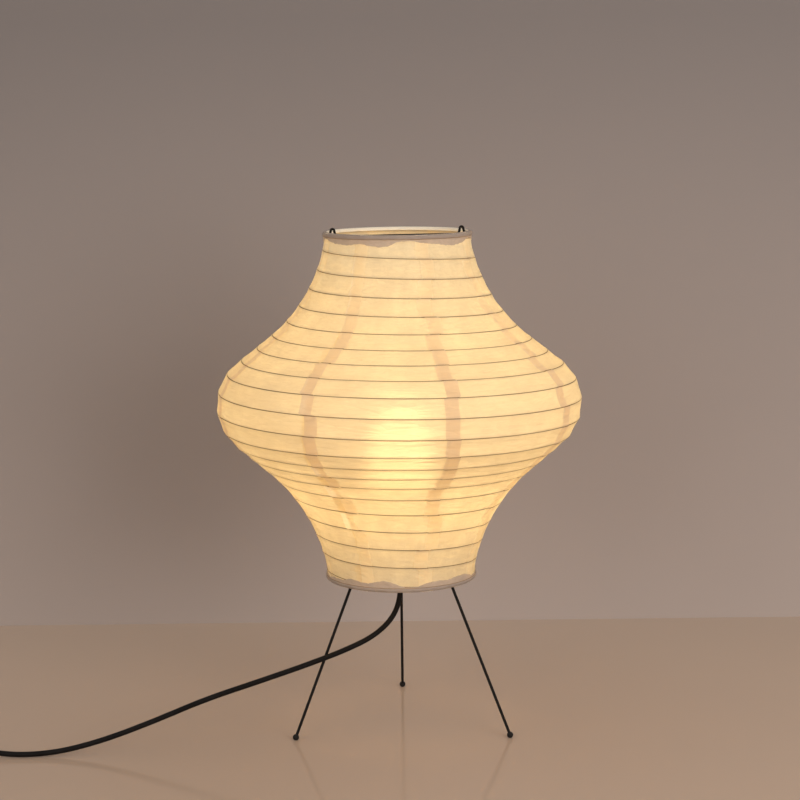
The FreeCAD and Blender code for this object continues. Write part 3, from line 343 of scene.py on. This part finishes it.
BLACK_WIRE = coated("black_wire", (0.006, 0.005, 0.004), (0.011, 0.009, 0.008), 700,
                    (0.40, 0.54), 0.0002, Specular_IOR_Level=0.12)
FOOT_RUBBER = coated("foot_rubber", (0.008, 0.007, 0.006), (0.016, 0.014, 0.013), 1100,
                     (0.55, 0.75), 0.0003, Specular_IOR_Level=0.15)
BLACK_PLASTIC = coated("black_plastic", (0.009, 0.0085, 0.008), (0.016, 0.015, 0.014), 1600,
                       (0.40, 0.54), 0.0004, Specular_IOR_Level=0.3)
SOFT_BLACK = coated("soft_black", (0.012, 0.011, 0.010), (0.021, 0.019, 0.018), 900,
                    (0.6, 0.75), 0.0003, Specular_IOR_Level=0.3)
ROCKER_PLASTIC = coated("rocker_plastic", (0.011, 0.011, 0.012), (0.017, 0.017, 0.018), 500,
                        (0.16, 0.28), 0.0001)
PHENOLIC = coated("phenolic", (0.022, 0.017, 0.014), (0.045, 0.034, 0.027), 500,
                  (0.28, 0.42), 0.0002)
LEAD_SLEEVE = coated("lead_sleeve", (0.30, 0.05, 0.035), (0.38, 0.07, 0.05), 800,
                     (0.4, 0.5), 0.0002)
BULB_BLACK = coated("bulb_black", (0.018, 0.014, 0.018), (0.035, 0.028, 0.036), 400,
                    (0.12, 0.22), 0.0002)
CANE = coated("cane", (0.085, 0.045, 0.018), (0.16, 0.090, 0.038), 420, (0.55, 0.75), 0.0003)
STEM_GLASS = coated("stem_glass", (0.86, 0.88, 0.86), (0.92, 0.93, 0.91), 300,
                    (0.05, 0.12), 0.0001, Transmission_Weight=0.9)
BRASS = brushed("brass", (0.74, 0.55, 0.24), (0.62, 0.44, 0.17), (150, 150, 2500),
                (0.22, 0.40), 0.0002)
ZINC = brushed("zinc_steel", (0.60, 0.61, 0.62), (0.50, 0.50, 0.50), (150, 150, 2000),
               (0.28, 0.45), 0.0002)
RING_STEEL = brushed("ring_steel", (0.42, 0.41, 0.40), (0.34, 0.32, 0.31), (120, 120, 2000),
                     (0.35, 0.5), 0.0002)
SOLDER = brushed("solder", (0.66, 0.66, 0.67), (0.54, 0.54, 0.55), (500, 500, 500),
                 (0.3, 0.5), 0.0004)
BULB_CAP = brushed("bulb_cap", (0.80, 0.80, 0.80), (0.70, 0.70, 0.69), (60, 60, 2800),
                   (0.22, 0.36), 0.0003)
FLEX_SHEATH = flex_sheath("flex")
BULB_GLASS = lit("bulb_glass", BULB_LIGHT, BULB_STRENGTH)
FILAMENT = lit("filament", (1.0, 0.72, 0.36), BULB_STRENGTH)
# The last four numbers of each paper are its painted glow, colour and strength: light that it gives
# off though it is no lamp.
PAPER = paper("paper", (0.88, 0.75, 0.51), (0.78, 0.65, 0.43),
              ((0.78, 0.68, 0.48), (0.97, 0.88, 0.65)), 0.60, (1.0, 0.56, 0.17, 0.20))
# The flap is lighter and glows more than the paper: painted light that evens out its doubled layer
# away from the bulb.
FLAP_PAPER = paper("flap_paper", (0.88, 0.78, 0.62), (0.80, 0.70, 0.56),
                   ((0.94, 0.87, 0.70), (0.99, 0.95, 0.80)), 0.74, (1.0, 0.56, 0.20, 0.26),
                   doubled=True)
# The roll of the hem over the ring: grey hem paper, its front darkened as painted shade where the
# wire ring keeps the bulb's light out.
SHADED_ROLL_PAPER = paper("hem_paper", (0.36, 0.30, 0.27), (0.28, 0.235, 0.215),
                  ((0.52, 0.46, 0.40), (0.66, 0.58, 0.50)), 0.35, (1.0, 0.62, 0.30, 0.02))
TORN_PAPER = paper("torn_paper", (0.58, 0.48, 0.41), (0.48, 0.40, 0.34),
                   ((0.46, 0.39, 0.33), (0.66, 0.56, 0.46)), 0.48, (1.0, 0.60, 0.24, 0.05))
# The fold inside the mouth: its front is lighter than the paper, painted light from the bulb below.
LIT_FOLD_PAPER = paper("fold_paper_lit", (0.94, 0.85, 0.69), (0.85, 0.75, 0.60),
                   ((0.50, 0.42, 0.34), (0.66, 0.56, 0.45)), 0.28, (1.0, 0.60, 0.24, 0.05))

FINISHES = {
    "black_wire": BLACK_WIRE, "foot_rubber": FOOT_RUBBER, "zinc_steel": ZINC,
    "phenolic": PHENOLIC, "brass": BRASS, "lead_sleeve": LEAD_SLEEVE, "flex": FLEX_SHEATH,
    "black_plastic": BLACK_PLASTIC, "soft_black": SOFT_BLACK, "rocker_plastic": ROCKER_PLASTIC,
    "solder": SOLDER, "bulb_black": BULB_BLACK, "bulb_cap": BULB_CAP, "bulb_glass": BULB_GLASS,
    "stem_glass": STEM_GLASS, "filament": FILAMENT, "paper": PAPER, "hem_paper": SHADED_ROLL_PAPER,
    "cane": CANE, "ring_steel": RING_STEEL,
}


def finish_nodes():
    """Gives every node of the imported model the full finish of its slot."""
    for row in frame["record"]["subparts"]:
        for holder in nodes[row["node"]].material_slots:
            holder.material = FINISHES[row["material_slot"]]


finish_nodes()


# Flex
def smooth_cord(name, points, *replaced):
    curve = bpy.data.curves.new(name, "CURVE")
    curve.dimensions = "3D"
    curve.bevel_depth = FLEX / 2
    curve.bevel_resolution = 5
    curve.resolution_u = 10
    curve.use_fill_caps = True
    spline = curve.splines.new("NURBS")
    spline.points.add(len(points) - 1)
    for control, point in zip(spline.points, points):
        control.co = (*point, 1)
    spline.order_u = 3
    spline.use_endpoint_u = True
    obj = bpy.data.objects.new(name, curve)
    scene.collection.objects.link(obj)
    return stands_for(obj, "stand", "flex", FLEX_SHEATH, *replaced)


def coil_point(turn):
    """A control point of the coil: in on the floor, out again on top.  It stands a little
    wide, because the curve runs inside its control points."""
    step = math.tau / COIL_POINTS
    wide = 1 / (0.75 + 0.25 * math.cos(step))
    radius = (COIL_RADIUS - COIL_PITCH * min(turn, COIL_TURNS - turn)) * wide
    climb = smooth((turn - COIL_TURNS / 2) / COIL_CLIMB + 0.5)
    angle = -math.pi / 2 - math.tau * turn
    height = COIL_LOW + (COIL_HIGH - COIL_LOW) * climb
    return COIL_CENTRE + Vector((radius * math.cos(angle), radius * math.sin(angle), height))


def make_tie():
    """A woven strap round the turns of the coil, with its end lapped over on top."""
    low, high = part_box("cord_tie")
    middle, half = (low + high) / 2, (high - low) / 2
    wall, corner, corner_steps, across_steps = 0.0008, 0.0027, 6, 12
    lap_start, end_below, end_narrow = 0.003, 0.001, 0.75
    weave, edge_thinner = 0.00012, 0.00025
    straight = (half.x - corner, half.z - corner)
    spots = [((0, half.z), (0, 1))]
    for turn, (left_right, down_up) in enumerate([(1, 1), (1, -1), (-1, -1), (-1, 1), (1, 1)]):
        lapped = wall if turn == 4 else 0
        if lapped:
            spots.append(((-lap_start, half.z + lapped), (0, 1)))
        for step in range(corner_steps + 1):
            angle = math.pi / 2 * (1 - turn - step / corner_steps)
            way = (math.cos(angle), math.sin(angle))
            spots.append(((left_right * straight[0] + way[0] * (corner + lapped),
                           down_up * straight[1] + way[1] * (corner + lapped)), way))
    spots.append(((half.x + wall, -end_below), (1, 0)))
    across = [-1 + 2 * step / across_steps for step in range(across_steps + 1)]
    verts, faces = [], []
    for number, ((x, z), way) in enumerate(spots):
        narrow = end_narrow if number == len(spots) - 1 else 1.0
        for face, line in ((0, across), (1, across[::-1])):
            for share in line:
                crown = weave * (number % 2) + edge_thinner * share ** 4
                depth = crown if face == 0 else wall - crown
                verts.append(middle + Vector((x - way[0] * depth, share * half.y * narrow,
                                              z - way[1] * depth)))
    ring = 2 * len(across)
    for number in range(len(spots) - 1):
        for side in range(ring):
            here, there = number * ring + side, number * ring + (side + 1) % ring
            faces.append((here, here + ring, there + ring, there))
    faces.append(tuple(range(ring)))
    faces.append(tuple(range(len(verts) - ring, len(verts)))[::-1])
    strap = add_mesh("coil_strap", verts, faces)
    return stands_for(strap, "stand", "soft_black", SOFT_BLACK, "cord_tie")


def make_flex():
    grip_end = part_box("cord_grip")[0].z
    lead = smooth_cord("flex_lead", [(0, 0, grip_end), *LEAD_ROUTE], "cord_lead")
    turns = [index / COIL_POINTS for index in range(1, int(COIL_TURNS * COIL_POINTS))]
    out = COIL_CENTRE + Vector((0, COIL_RADIUS, COIL_HIGH))
    tail_points = [*LINK_ROUTE, *[coil_point(turn) for turn in turns],
                   out, out + Vector((PLUG_RUN, 0, 0))]
    tail = smooth_cord("flex_tail", tail_points, "cord_link", "cord_coil")
    make_tie()


make_flex()


# Shade
class HalfOutline:
    """One half of the shade's outline, from a mouth to the belly."""

    def __init__(self, mouth, waist_bend, belly_height):
        self.mouth, self.waist_bend = mouth, waist_bend
        self.waist_at = (mouth + waist_bend * math.cos(WAIST_LEAN),
                         HEM_DEPTH - waist_bend * math.sin(WAIST_LEAN))
        self.belly_at = (BELLY_RADIUS - BELLY_BEND, belly_height)
        across = self.belly_at[0] - self.waist_at[0]
        up = self.belly_at[1] - self.waist_at[1]
        both = waist_bend + BELLY_BEND
        self.flank = math.sqrt(across ** 2 + up ** 2 - both ** 2)
        self.steep = math.acos(-both / math.hypot(across, up)) - math.atan2(up, across)
        self.ends = [HEM_DEPTH]
        for length in (waist_bend * (self.steep - WAIST_LEAN), self.flank,
                       BELLY_BEND * self.steep):
            self.ends.append(self.ends[-1] + length)

    def spot(self, along):
        """Radius, height and lean at a length along the paper from the mouth."""
        hem, waist, flank, _ = self.ends
        if along < hem:
            return self.mouth, along, 0.0
        lean = min(WAIST_LEAN + (along - hem) / self.waist_bend, self.steep)
        radius = self.waist_at[0] - self.waist_bend * math.cos(lean)
        height = self.waist_at[1] + self.waist_bend * math.sin(lean)
        if along < flank:
            run = max(along - waist, 0)
            return radius + run * math.sin(lean), height + run * math.cos(lean), lean
        lean = self.steep - (along - flank) / BELLY_BEND
        return (self.belly_at[0] + BELLY_BEND * math.cos(lean),
                self.belly_at[1] - BELLY_BEND * math.sin(lean), lean)


LOWER = HalfOutline(BOTTOM_MOUTH, LOWER_WAIST_BEND, BELLY_HEIGHT)
UPPER = HalfOutline(TOP_MOUTH, UPPER_WAIST_BEND, SHADE_HEIGHT - BELLY_HEIGHT)
PAPER_LENGTH = LOWER.ends[-1] + UPPER.ends[-1]


def shade_point(along, angle, out):
    """A point of the shade at a length up the paper, a direction and a distance outside it."""
    if along <= LOWER.ends[-1]:
        radius, height, lean = LOWER.spot(along)
        radius, height = radius + out * math.cos(lean), height - out * math.sin(lean)
    else:
        radius, height, lean = UPPER.spot(PAPER_LENGTH - along)
        radius = radius + out * math.cos(lean)
        height = SHADE_HEIGHT - height + out * math.sin(lean)
    return Vector((radius * math.cos(angle), radius * math.sin(angle), SHADE_BOTTOM + height))


def shade_radius(along):
    half, length = (LOWER, along) if along <= LOWER.ends[-1] else (UPPER, PAPER_LENGTH - along)
    return half.spot(length)[0]


def rib_turns(along):
    """Turns of the rib up to a length along the paper."""
    high = RIB_RISE * math.exp(-((along - RIB_RISE_AT) / RIB_RISE_WIDTH) ** 2 / 2)
    return (along - high - RIB_START) / RIB_PITCH


def turns_past(along, angle):
    """Turns from the rib to a place on the paper: a whole number where it lies on the rib."""
    return rib_turns(along) + (angle - FRONT) / math.tau


def paper_relief(along, angle):
    """How far the paper stands out: drawn in between the turns of the rib, and creased."""
    free = smooth((min(along, PAPER_LENGTH - along) - HEM_DEPTH) / HEM_DEPTH)
    loose = abs(math.sin(math.pi * turns_past(along, angle)))
    across = angle * PAPER_ACROSS

    def waves(each_metre, layer):
        return noise.noise(Vector((across * each_metre[0], along * each_metre[1], layer)))

    rounded = smooth(BELLY_REACH - abs(along - LOWER.ends[-1]) / BELLY_BEND)
    hollow = FLAT_HOLLOW + (BELLY_HOLLOW - FLAT_HOLLOW) * rounded
    relief = -hollow * loose * (1 + SAG_UNEVEN * waves(SAGS, 3.0))
    relief += loose * (DENT_DEPTH * waves(DENTS, 0.0) + CREASE_DEPTH * waves(CREASES, 7.0))
    return relief * free


def seam_shift(index, along):
    """A seam runs a little to one side or the other from each turn of the rib to the next."""
    seam = FIRST_SEAM + math.tau / GORES * index
    turn = math.floor(turns_past(along, seam))
    return SEAM_WANDER * (noise.cell(Vector((turn, index % GORES, 0.5))) - 0.5)


def add_places(obj, **layers):
    """Flat places on the paper for its vertices, one layer for each kind."""
    for name, places in layers.items():
        layer = obj.data.uv_layers.new(name=name)
        for loop in obj.data.loops:
            layer.data[loop.index].uv = places[loop.vertex_index]


def make_gore(index):
    """One gore: a panel, then a step over the edge of the next gore and a flap pasted on it."""
    step_angle = math.tau / GORES
    rows, columns, flap = 172, 46, 6
    verts, faces, places, turns = [], [], [], []
    for row in range(rows + 1):
        along = PAPER_LENGTH * row / rows
        radius = shade_radius(along)
        first_edge = FIRST_SEAM + step_angle * index
        start = first_edge - (SEAM_LAP / 2 + seam_shift(index, along)) / radius
        last_edge = first_edge + step_angle
        panel_end = last_edge - (SEAM_LAP / 2 + seam_shift(index + 1, along)) / radius
        half_lap = SEAM_LAP / 2 / radius
        for column in range(columns + flap + 1):
            if column <= columns:
                angle = start + (panel_end - start) * column / columns
                out = 0.0
            else:
                angle = panel_end + 2 * half_lap * (column - columns) / flap
                out = PAPER_STEP
            point = shade_point(along, angle, out + paper_relief(along, angle))
            verts.append(point)
            places.append((angle * PAPER_ACROSS, along))
            turns.append((turns_past(along, angle), along))
    width = columns + flap + 1
    for row in range(rows):
        for column in range(width - 1):
            corner = row * width + column
            faces.append((corner, corner + 1, corner + width + 1, corner + width))
    gore = add_mesh(f"shade_gore_{index + 1}", verts, faces)
    add_places(gore, paper=places, rib=turns)
    stands_for(gore, "stand", "paper", PAPER, f"paper_gore_{index + 1}")
    gore.data.materials.append(FLAP_PAPER)
    for face in gore.data.polygons:
        face.material_index = int(face.index % (width - 1) >= columns)


def tube(points, radii, sides):
    """Rings of vertices round a line of points, and the faces between them."""
    verts, faces = [], []
    for index, point in enumerate(points):
        way = points[min(index + 1, len(points) - 1)] - points[max(index - 1, 0)]
        way.normalize()
        side = way.cross(Vector((0, 0, 1))).normalized()
        up = side.cross(way)
        for corner in range(sides):
            turn = math.tau * corner / sides
            verts.append(point + (side * math.cos(turn) + up * math.sin(turn)) * radii[index])
    for index in range(len(points) - 1):
        for corner in range(sides):
            here, there = index * sides + corner, index * sides + (corner + 1) % sides
            faces.append((here, there, there + sides, here + sides))
    faces.append(tuple(range(sides))[::-1])
    faces.append(tuple(range(len(verts) - sides, len(verts))))
    return verts, faces


def make_rib():
    """The cane under the paper, a little thicker at its nodes."""
    steps = 1100
    first, last = HEM_DEPTH, PAPER_LENGTH - HEM_DEPTH
    points, radii = [], []
    for step in range(steps + 1):
        along = first + (last - first) * step / steps
        angle = FRONT - math.tau * rib_turns(along)
        points.append(shade_point(along, angle, -RIB_UNDER))
        thicker = RIB_UNEVEN * noise.noise(Vector((along * RIB_NODES, 0, 5.0)))
        radii.append(RIB_RADIUS * (1 + thicker))
    cane = add_mesh("shade_cane", *tube(points, radii, sides=8))
    stands_for(cane, "stand", "cane", CANE, "shade_rib")


def make_hem(end, half, edge, inward):
    """The paper that binds a mouth: up the outside, over the wire ring and down its inside.
    Its outer edge is torn, and lies on the shade."""
    mouth = half.mouth
    ring = mouth - RING_INSET
    inside = ring - RING_WIRE / 2 - 0.00005
    pasted = mouth + HEM_OUT
    # From the torn edge up to the roll over the ring, and down inside: radius, and depth in
    # hem depths
    section = [
        (pasted, 1.0), (pasted + 0.0001, 0.85), (pasted, 0.68), (pasted, 0.54), (pasted, 0.47),
        (pasted + 0.0005, 0.40), (pasted + 0.0008, 0.28), (pasted + 0.0006, 0.14),
        (pasted - 0.0003, 0.03), (mouth - 0.0012, -0.04), (ring, -0.05),
        (ring - 0.0009, 0.0), (inside, 0.12), (inside, 0.34),
    ]
    torn_rows, crease, fold, creased_rows = 3, 4, 10, 9
    whole = section[torn_rows][1]
    count = 240
    verts, faces, places, crease_shadow_lines = [], [], [], []
    for index in range(count):
        angle = math.tau * index / count
        round_about = Vector((math.cos(angle), math.sin(angle), 0))
        patch = noise.noise(round_about * 3 + Vector((0, 0, mouth * 100)))
        fray = noise.noise(round_about * 24 + Vector((0, 0, mouth * 300)))
        torn = max(TEAR_PATCHES * patch + TEAR_FRAY * fray + TEAR_MEAN, TEAR_LEAST)
        for number, (radius, depth) in enumerate(section):
            if number < torn_rows:
                depth += torn * (depth - whole) / (1 - whole)
                radius += half.spot(depth * HEM_DEPTH)[0] - mouth
            pucker = HEM_PUCKER * noise.noise(round_about * 26 + Vector((0, 0, number * 0.4)))
            spot = round_about * (radius + (pucker if number < creased_rows else 0))
            spot.z = edge + inward * depth * HEM_DEPTH
            verts.append(spot)
            places.append((angle * PAPER_ACROSS, number * 0.002))
            # Painted crease shadow: the crease row takes the paper's painted shadow line, below the
            # roll.
            crease_shadow_lines.append((min(abs(number - crease) * 0.06, 0.5), 0))
    size = len(section)
    for index in range(count):
        following = (index + 1) % count
        for number in range(size - 1):
            corners = (index * size + number, following * size + number,
                       following * size + number + 1, index * size + number + 1)
            faces.append(corners if inward > 0 else corners[::-1])
    hem = add_mesh(f"hem_{end}", verts, faces)
    add_places(hem, paper=places, rib=crease_shadow_lines)
    stands_for(hem, "stand", "hem_paper", SHADED_ROLL_PAPER, f"{end}_hem")
    hem.data.materials.append(TORN_PAPER)
    hem.data.materials.append(LIT_FOLD_PAPER)
    for face in hem.data.polygons:
        row = face.index % (size - 1)
        face.material_index = 1 if row < crease else 2 if row >= fold else 0


def make_shade():
    for index in range(GORES):
        make_gore(index)
    make_rib()
    make_hem("top", UPPER, SHADE_BOTTOM + SHADE_HEIGHT, -1)
    make_hem("bottom", LOWER, SHADE_BOTTOM, 1)


make_shade()


# Stage and light
def plain_sheet(name, corners, colour, rough, specular, above=None):
    """A flat sheet of the stage, with faint unevenness, and, if given, painted shade towards a
    darker colour higher up.
    """
    sheet = add_mesh(name, corners, [(0, 1, 2, 3)])
    shader = Shader(name, Specular_IOR_Level=specular)
    clouds = shader.cloud(shader.place((1, 1, 1)), 3, 2)
    shade = [part * 0.97 for part in colour]
    tone = shader.between(clouds, shade, colour)
    if above:
        height = shader.add("SeparateXYZ", Vector=shader.place((1, 1, 1))).outputs["Z"]
        tone = shader.mixed(shader.between(height, 0.0, 1.0, 0.0, WALL_TOP), tone, above)
    shader.finish(Base_Color=tone, Roughness=shader.between(clouds, *rough))
    sheet.data.materials.append(shader.material)
    return shader


def make_stage():
    reach, high = 12.0, 3.0
    plain_sheet("floor", [(-reach, -reach, 0), (reach, -reach, 0), (reach, reach, 0),
                          (-reach, reach, 0)], FLOOR_COLOUR, rough=(0.09, 0.13), specular=0.5)
    wall = plain_sheet("wall", [(-reach, WALL_AT, 0), (reach, WALL_AT, 0),
                                (reach, WALL_AT, high), (-reach, WALL_AT, high)],
                       WALL_COLOUR, rough=(0.8, 0.9), specular=0.2, above=WALL_SHADED_TOP)
    # The wall shows only from the front, and neither shades nor lights what is before it, so
    # that its foot leaves no line on the floor.
    behind = wall.add("NewGeometry").outputs["Backfacing"]
    ray = wall.add("LightPath").outputs
    indirect = wall.math("MAXIMUM", ray["Is Shadow Ray"], ray["Is Diffuse Ray"])
    one_sided = wall.add("MixShader", Fac=wall.math("MAXIMUM", behind, indirect))
    wall.join(wall.surface.outputs["BSDF"], one_sided, 1)
    wall.join(wall.add("BsdfTransparent").outputs["BSDF"], one_sided, 2)
    wall.join(one_sided.outputs["Shader"], wall.output, "Surface")


def soft_light(name, place, aim, size, power, colour):
    lamp = bpy.data.lights.new(name, "AREA")
    lamp.shape, lamp.size, lamp.energy, lamp.color = "DISK", size, power, colour
    obj = bpy.data.objects.new(name, lamp)
    obj.location = place
    obj.rotation_euler = (Vector(aim) - Vector(place)).to_track_quat("-Z", "Y").to_euler()
    obj.visible_glossy = False      # no glare on the floor from the other side
    scene.collection.objects.link(obj)


def make_light():
    soft_light("key", (1.2, -1.7, 0.85), aim=(0.1, 0.3, -0.1), size=1.4, power=34,
               colour=(1.0, 0.97, 0.95))
    soft_light("fill", (-1.3, -1.8, 0.9), aim=(0, 0.3, -0.1), size=1.6, power=16,
               colour=(1.0, 0.98, 0.97))
    world = bpy.data.worlds.new("room")
    world.use_nodes = True
    back = world.node_tree.nodes["Background"]
    back.inputs["Color"].default_value = (*ROOM_LIGHT, 1)
    back.inputs["Strength"].default_value = 1.0
    scene.world = world
    scene.view_settings.view_transform = "Standard"


make_stage()
make_light()
